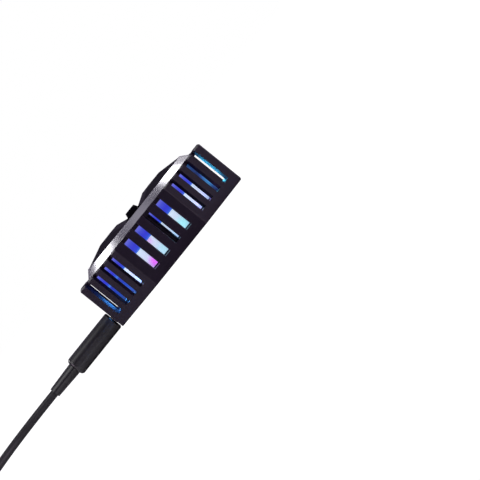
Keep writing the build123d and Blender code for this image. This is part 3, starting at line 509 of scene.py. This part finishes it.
# %% Metals
metal("magnet_metal", (0.6, 0.59, 0.58), (0.52, 0.51, 0.5), (0.15, 0.28))
metal("plated_steel", (0.52, 0.52, 0.54), (0.44, 0.44, 0.46), (0.25, 0.4))
metal("core_steel", (0.25, 0.25, 0.27), (0.19, 0.19, 0.2), (0.35, 0.5), stretch=(4, 4, 0.3))
metal("screw_steel", (0.5, 0.5, 0.52), (0.4, 0.4, 0.42), (0.22, 0.36))
metal("cold_aluminium", (0.75, 0.76, 0.78), (0.66, 0.67, 0.69), (0.25, 0.38), stretch=(8, 0.6, 1))
metal("plug_metal", (0.62, 0.61, 0.60), (0.54, 0.53, 0.52), (0.34, 0.42), depth=0.0008 * MM)
metal("winding_copper", (0.7, 0.33, 0.15), (0.55, 0.24, 0.1), (0.25, 0.38), stretch=(0.5, 0.5, 4))
metal("bearing_bronze", (0.5, 0.36, 0.18), (0.38, 0.27, 0.13), (0.3, 0.45))

# %% [markdown]
# ## Lit finishes, with painted light and painted shade
# The lamps on the board change colour round the fan and light the fins of the heat sink, and most of
# that light is painted into the fins' glow: through the slots the fins look almost white, lighter
# towards the top, with painted pools of cyan, pink and magenta near a lamp. The light ring is a frosted
# moulding, lit blue from inside, and painted dimmer at its right end, a painted shade, as in the
# picture. Both glow by themselves here, so they look lit from every side; the fins glow though they
# are no lamp.

# %% Helpers for lit finishes


def glowing(material, color, strength):
    """Let a finish glow in a colour."""
    join(material, color, shader_of(material)["Emission Color"])
    shader_of(material)["Emission Strength"].default_value = strength


def height_share(material, node):
    """How far up a CAD node a point lies, from 0 at the bottom to 1 at the top."""
    bottom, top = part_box(node)
    return ranged(material, along(material, "Z"), bottom.z, top.z)


# %% Painted light on the fins of the heat sink
# Painted light: the fins glow with the board lamps' light painted on, lighter towards the top, with a
# painted pool near each lamp on all four sides
FIN_PAINTED_LIGHT_GLOW = 0.85
FIN_PAINTED_LIGHT_COLORS = [
    (0.0, (0.40, 0.52, 0.88)), (0.3, (0.54, 0.68, 0.90)), (0.6, (0.62, 0.72, 0.92)),
    (1.0, (0.64, 0.80, 0.94)),
]
# Centre in millimetres, colour, and the distances where each painted pool of light starts and stops to fade
FIN_PAINTED_LIGHT_POOLS = [
    ((7.2, -18.5, 5.6), (0.34, 0.88, 0.96), 0.8, 3.6),
    ((-2.6, -18.5, 5.0), (0.44, 0.80, 0.95), 0.8, 3.4),
    ((-3.6, -18.5, 10.4), (0.72, 0.46, 0.95), 0.3, 2.2),
    ((-7.0, -18.5, 4.9), (0.70, 0.10, 0.90), 0.5, 3.1),
    ((14.6, -18.5, 4.2), MAGENTA, 0.6, 2.6),
    ((-15.5, -18.0, 3.6), BLUE, 0.3, 1.4),
]
LIT_SIDES = 4

fins = metal("sink_aluminium", (0.8, 0.82, 0.85), (0.7, 0.72, 0.76), (0.28, 0.42), stretch=(6, 1, 0.5))
painted_fin_light = ramp(fins, height_share(fins, "heat_sink"), FIN_PAINTED_LIGHT_COLORS)
for side in range(LIT_SIDES):
    to_side = Matrix.Rotation(2 * pi * side / LIT_SIDES, 4, "Z")
    for centre, color, near, far in FIN_PAINTED_LIGHT_POOLS:
        share = pool(fins, to_side @ (Vector(centre) * MM), near * MM, far * MM)
        painted_fin_light = mixed(fins, share, painted_fin_light, flat_color(fins, color))
glowing(fins, painted_fin_light, FIN_PAINTED_LIGHT_GLOW)

# %% Light ring, with painted shade at its right end
RING_GLOW = 1.0
PAINTED_SHADE_STARTS = 19.6 * MM
PAINTED_SHADE_ENDS = 21.0 * MM
BRIGHT_COLORS = [
    (0.0, (0.03, 0.06, 0.17)), (0.2, (0.02, 0.06, 0.30)), (0.3, (0.01, 0.05, 0.42)),
    (0.55, (0.02, 0.035, 0.40)), (0.6, (0.05, 0.20, 0.75)), (0.66, (0.025, 0.06, 0.62)),
    (0.76, (0.035, 0.038, 0.60)), (0.88, (0.055, 0.075, 0.58)), (0.95, (0.11, 0.12, 0.66)),
    (1.0, (0.14, 0.14, 0.56)),
]
# Painted shade: towards its right end the ring's glow turns into these darker colours
PAINTED_SHADE_COLORS = [
    (0.0, (0.002, 0.003, 0.01)), (0.15, (0.006, 0.035, 0.10)), (0.28, (0.022, 0.17, 0.33)),
    (0.42, (0.018, 0.12, 0.27)), (0.55, (0.008, 0.025, 0.10)), (0.72, (0.004, 0.012, 0.045)),
    (0.88, (0.008, 0.04, 0.13)), (1.0, (0.007, 0.045, 0.12)),
]

diffuser = moulded("light_diffuser", (0.05, 0.06, 0.2), (0.06, 0.07, 0.25), (0.4, 0.55))
rise = height_share(diffuser, "light_ring")
bright = ramp(diffuser, rise, BRIGHT_COLORS)
painted_shade = ramp(diffuser, rise, PAINTED_SHADE_COLORS)
painted_shade_share = ranged(diffuser, along(diffuser, "X"), PAINTED_SHADE_STARTS, PAINTED_SHADE_ENDS)
glowing(diffuser, mixed(diffuser, painted_shade_share, bright, painted_shade), RING_GLOW)

# %% Domes of the lamps
DOME_GLOW = 0.5
DOME_RADIUS = 1.3 * MM
DOME_EDGE = 1.6 * MM

domes = moulded("lamp_white", (0.7, 0.8, 0.9), (0.8, 0.9, 1.0), (0.2, 0.3))
dome_color = flat_color(domes, BLUE)
for angle, color, milliwatts in board_lights:
    share = pool(domes, on_lamp_circle(angle, domes_top), DOME_RADIUS, DOME_EDGE)
    dome_color = mixed(domes, share, dome_color, flat_color(domes, color))
glowing(domes, dome_color, DOME_GLOW)

# %% [markdown]
# ## Turned metal and woven tape
# The trim ring is turned on a lathe, so its grooves run round it and drag each reflection into a fan.
# The tie on the coil is woven hook-and-loop tape.

# %% Turned trim metal
GROOVE_SIZE = 0.9 * MM
GROOVE_DEPTH = 0.0001 * MM
GROOVE_WOBBLE = 0.6
HIGHLIGHT_STRETCH = 0.75

turned = metal("trim_metal", (0.66, 0.65, 0.68), (0.63, 0.62, 0.65), (0.19, 0.22), grain=6 * MM, depth=0)
grooves = waves(turned, GROOVE_SIZE, distortion=GROOVE_WOBBLE, wave_type="RINGS", rings_direction="Z")
bump(turned, grooves, GROOVE_DEPTH)
shader_of(turned)["Anisotropic"].default_value = HIGHLIGHT_STRETCH
lathe = add_node(turned, "ShaderNodeTangent", direction_type="RADIAL", axis="Z")
join(turned, lathe.outputs["Tangent"], shader_of(turned)["Tangent"])

# %% Woven tape
THREAD_SIZE = 2.0 * MM
THREAD_DEPTH = 0.06 * MM
TAPE_FUZZ = 0.4

tape = moulded("tie_fabric", (0.018, 0.018, 0.02), (0.03, 0.03, 0.034), (0.75, 0.9), depth=0.02 * MM)
for direction in ("X", "Y"):
    threads = waves(tape, THREAD_SIZE, "UV", wave_type="BANDS", bands_direction=direction)
    bump(tape, threads, THREAD_DEPTH)
shader_of(tape)["Sheen Weight"].default_value = TAPE_FUZZ

# %% Give every CAD node its finish
for part in record["subparts"]:
    data = nodes[part["node"]].data
    data.materials.clear()
    data.materials.append(finishes[part["material_slot"]])
print("finishes:", len(finishes))

# %% [markdown]
# ## Pieces that stand in for bare solids
# Real mouldings have no knife edges, and it is the small round on an edge that catches the light. So
# the sharpest nodes are copied, their loose triangles are merged into whole faces, and a narrow bevel
# goes on every edge. The copy lies exactly where the solid does.

# %% Helpers for pieces
WELD = 0.002 * MM
FLAT_WITHIN = radians(0.3)
EDGE_ANGLE = radians(25)
SMOOTH_ANGLE = radians(35)
BEVEL_SEGMENTS = 2


def link(name, data):
    """A new piece from a mesh, alone selected."""
    piece = bpy.data.objects.new(name, data)
    bpy.context.collection.objects.link(piece)
    bpy.ops.object.select_all(action="DESELECT")
    piece.select_set(True)
    bpy.context.view_layer.objects.active = piece
    return piece


def link_drawn(name, mesh):
    """A new piece from a drawn mesh, which is used up."""
    data = bpy.data.meshes.new(name)
    mesh.to_mesh(data)
    mesh.free()
    return link(name, data)


def merged_copy(node, name):
    """A copy of a CAD node's mesh with its loose triangles merged into flat faces."""
    piece = link(name, nodes[node].data.copy())
    bpy.ops.object.mode_set(mode="EDIT")
    bpy.ops.mesh.select_all(action="SELECT")
    bpy.ops.mesh.remove_doubles(threshold=WELD)
    bpy.ops.mesh.dissolve_limited(angle_limit=FLAT_WITHIN)
    bpy.ops.object.mode_set(mode="OBJECT")
    return piece


def round_edges(piece, width):
    """A narrow bevel on every clear edge of the selected piece, and smooth shading between."""
    bevel = piece.modifiers.new("edges", "BEVEL")
    bevel.width = width
    bevel.segments = BEVEL_SEGMENTS
    bevel.limit_method = "ANGLE"
    bevel.angle_limit = EDGE_ANGLE
    bevel.use_clamp_overlap = False
    bpy.ops.object.modifier_apply(modifier=bevel.name)
    bpy.ops.object.shade_smooth_by_angle(angle=SMOOTH_ANGLE)
    weighted = piece.modifiers.new("shading", "WEIGHTED_NORMAL")
    weighted.keep_sharp = True
    bpy.ops.object.modifier_apply(modifier=weighted.name)
    print(piece.name, "faces:", len(piece.data.polygons))


def dress(piece, slot, body, *replaced):
    """Give a piece the finish named by a slot, attach it to a body, and hide the nodes that it stands for.
    """
    piece.data.materials.clear()
    piece.data.materials.append(finishes[slot])
    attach(piece, body)
    if replaced:
        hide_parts(*replaced)


# %% Body, guard, ring and plates with rounded edges
rounded = [
    ("housing", "body_shell", "body_plastic", "cooler", 0.1 * MM),
    ("fan_guard", "guard_petals", "guard_plastic", "cooler", 0.12 * MM),
    ("guard_cap", "centre_cap", "guard_plastic", "cooler", 0.12 * MM),
    ("trim_ring", "metal_ring", "trim_metal", "cooler", 0.1 * MM),
    ("front_plate", "front_panel", "body_plastic", "cooler", 0.08 * MM),
    ("module_gasket", "soft_gasket", "gasket_rubber", "cooler", 0.15 * MM),
    ("far_shell", "supply_plug_shell", "plug_metal", "lead", 0.06 * MM),
]
for node, name, slot, body, width in rounded:
    piece = merged_copy(node, name)
    round_edges(piece, width)
    dress(piece, slot, body, node)

# %% [markdown]
# ## The silicone pad
# A moulded disc that lies between the phone and the cold plate, with a soft round edge. It is drawn as
# a profile of radius and height, turned round the axis.

# %% Turn the pad
PAD_EDGE = 0.2 * MM
PAD_EDGE_STEPS = 6
PAD_STEPS_ROUND = 160
PAD_SMOOTH = radians(30)
PAD_INNER_SHARE = 0.5


def arc(centre, radius, start, end, steps):
    """Points on an arc in a plane, from one angle in degrees to another."""
    angles = [radians(start + (end - start) * step / steps) for step in range(steps + 1)]
    return [(centre[0] + radius * cos(angle), centre[1] + radius * sin(angle)) for angle in angles]


def revolved(profile, steps):
    """A closed body of revolution from a profile of (radius, height) that starts and ends on the axis."""
    mesh = bmesh.new()
    rings = []
    for radius, height in profile:
        angles = [2 * pi * step / steps for step in range(steps if radius else 1)]
        places = [(radius * cos(angle), radius * sin(angle), height) for angle in angles]
        rings.append([mesh.verts.new(place) for place in places])
    for inner, outer in zip(rings, rings[1:]):
        for step in range(steps):
            onward = (step + 1) % steps
            turns = [(inner, step), (outer, step), (outer, onward), (inner, onward)]
            corners = [ring[turn % len(ring)] for ring, turn in turns]
            mesh.faces.new(list(dict.fromkeys(corners)))
    bmesh.ops.recalc_face_normals(mesh, faces=mesh.faces)
    return mesh


pad_low, pad_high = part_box("thermal_pad")
pad_radius = (pad_high.x - pad_low.x) / 2
flat_radius = pad_radius - PAD_EDGE
inner_radius = pad_radius * PAD_INNER_SHARE
pad_profile = [(0, pad_low.z), (inner_radius, pad_low.z)]
pad_profile += arc((flat_radius, pad_low.z + PAD_EDGE), PAD_EDGE, -90, 0, PAD_EDGE_STEPS)
pad_profile += arc((flat_radius, pad_high.z - PAD_EDGE), PAD_EDGE, 0, 90, PAD_EDGE_STEPS)
pad_profile += [(inner_radius, pad_high.z), (0, pad_high.z)]
pad = link_drawn("silicone_pad", revolved(pad_profile, PAD_STEPS_ROUND))
bpy.ops.object.shade_smooth_by_angle(angle=PAD_SMOOTH)
dress(pad, "pad_silicone", "cooler", "thermal_pad")

# %% [markdown]
# ## The tie round the coil
# Hook-and-loop tape starts under its own end, goes once round the coil and ends lying on itself. Its
# rounded section is swept along that path, with UVs along and across it for the weave.

# %% Path of the tape
TAPE_THICKNESS = 0.8 * MM
TAPE_CORNER = 1.35 * MM
# Where the two ends lie from the tie's middle
LOWER_END = 4.2 * MM
UPPER_END = -4.5 * MM
# The tape climbs over this length, and stays clear of its own lower end by so much
CLIMB_LENGTH = 2.5 * MM
CLIMB_CLEAR = 0.125 * MM
CORNER_STEPS = 8

tie_low, tie_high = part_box("cord_tie")
tie_middle = (tie_low + tie_high) / 2
tape_bottom = tie_low.z + TAPE_THICKNESS / 2
tape_top = tie_high.z - TAPE_THICKNESS * 1.5
left_centre = tie_low.y + TAPE_THICKNESS / 2 + TAPE_CORNER
right_centre = tie_high.y - TAPE_THICKNESS / 2 - TAPE_CORNER
tape_corners = [
    ((left_centre, tape_top - TAPE_CORNER), 90),
    ((left_centre, tape_bottom + TAPE_CORNER), 180),
    ((right_centre, tape_bottom + TAPE_CORNER), 270),
    ((right_centre, tape_top - TAPE_CORNER), 0),
]
lower_end = tie_middle.y + LOWER_END
upper_end = tie_middle.y + UPPER_END
upper_top = tape_top + TAPE_THICKNESS

tape_path = [(lower_end, tape_top), (tie_middle.y, tape_top)]
for centre, start in tape_corners:
    tape_path += arc(centre, TAPE_CORNER, start, start + 90, CORNER_STEPS)
for step in range(CORNER_STEPS + 1):
    share = step / CORNER_STEPS
    lift = TAPE_THICKNESS * (1 - cos(pi * share)) / 2
    tape_path.append((lower_end + CLIMB_CLEAR + CLIMB_LENGTH * (1 - share), tape_top + lift))
tape_path += [(tie_middle.y, upper_top), (upper_end, upper_top)]

# %% Sweep the tape
SELVEDGE_RADIUS = 0.22 * MM
SELVEDGE_STEPS = 3
TAPE_SMOOTH = radians(40)


def tape_section(width):
    """The outline of the tape across its run, as (across, out), with rounded selvedges."""
    across = width / 2 - SELVEDGE_RADIUS
    out = TAPE_THICKNESS / 2 - SELVEDGE_RADIUS
    quarters = [((across, out), 0), ((-across, out), 90), ((-across, -out), 180), ((across, -out), 270)]
    points = []
    for centre, start in quarters:
        points += arc(centre, SELVEDGE_RADIUS, start, start + 90, SELVEDGE_STEPS)
    return points


def ring_round(mesh, path, place, section, middle_x):
    """The section's points, set square to the path at one of its places."""
    before = path[max(place - 1, 0)]
    after = path[min(place + 1, len(path) - 1)]
    way = Vector((after[0] - before[0], after[1] - before[1])).normalized()
    y, z = path[place]
    return [mesh.verts.new((middle_x + across, y + way.y * out, z - way.x * out)) for across, out in section]


def swept_tape(path, section, middle_x):
    """The tape as a closed mesh along a path in the Y-Z plane, with UVs along and across it."""
    mesh = bmesh.new()
    tape_uv = mesh.loops.layers.uv.new("tape")
    rings = [ring_round(mesh, path, place, section, middle_x) for place in range(len(path))]
    travelled = 0.0
    for place, (start, end) in enumerate(zip(path, path[1:])):
        length = Vector((end[0] - start[0], end[1] - start[1])).length
        for corner in range(len(section)):
            onward = (corner + 1) % len(section)
            ends = [(0, corner), (0, onward), (1, onward), (1, corner)]
            face = mesh.faces.new([rings[place + ahead][point] for ahead, point in ends])
            for loop, (ahead, point) in zip(face.loops, ends):
                loop[tape_uv].uv = (travelled + length * ahead, section[point][0])
        travelled += length
    mesh.faces.new(rings[0])
    mesh.faces.new(rings[-1])
    bmesh.ops.recalc_face_normals(mesh, faces=mesh.faces)
    return mesh


tie_section = tape_section(tie_high.x - tie_low.x)
tie = link_drawn("woven_tie", swept_tape(tape_path, tie_section, tie_middle.x))
bpy.ops.object.shade_smooth_by_angle(angle=TAPE_SMOOTH)
dress(tie, "tie_fabric", "lead", "cord_tie")

# %% [markdown]
# ## Contacts of the supply plug
# Four nickel strips lie in the face of the plug's tongue. The outer two are longer, so that they meet
# the supply first.

# %% The four contacts
CONTACT_WIDTH = 1.0 * MM
CONTACT_RISE = 0.06 * MM
CONTACT_BACK = 0.6 * MM
CONTACT_EDGE = 0.02 * MM
contact_places = [(-3.5 * MM, 8.6 * MM), (-1.0 * MM, 7.4 * MM), (1.0 * MM, 7.4 * MM), (3.5 * MM, 8.6 * MM)]

tongue_low, tongue_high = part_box("far_tongue")
tongue_middle = (tongue_low.x + tongue_high.x) / 2
contact_front = tongue_high.y - CONTACT_BACK
strips = bmesh.new()
for across, length in contact_places:
    place = (tongue_middle + across, contact_front - length / 2, tongue_high.z + CONTACT_RISE / 2)
    shape = Matrix.Diagonal((CONTACT_WIDTH, length, CONTACT_RISE, 1))
    bmesh.ops.create_cube(strips, size=1, matrix=Matrix.Translation(place) @ shape)
contacts = link_drawn("plug_contacts", strips)
round_edges(contacts, CONTACT_EDGE)
dress(contacts, "plug_metal", "lead")

# %% Dress the cord
dress(cord, "cord_jacket", "lead", "cord_run", "cord_coil", "cord_tail")
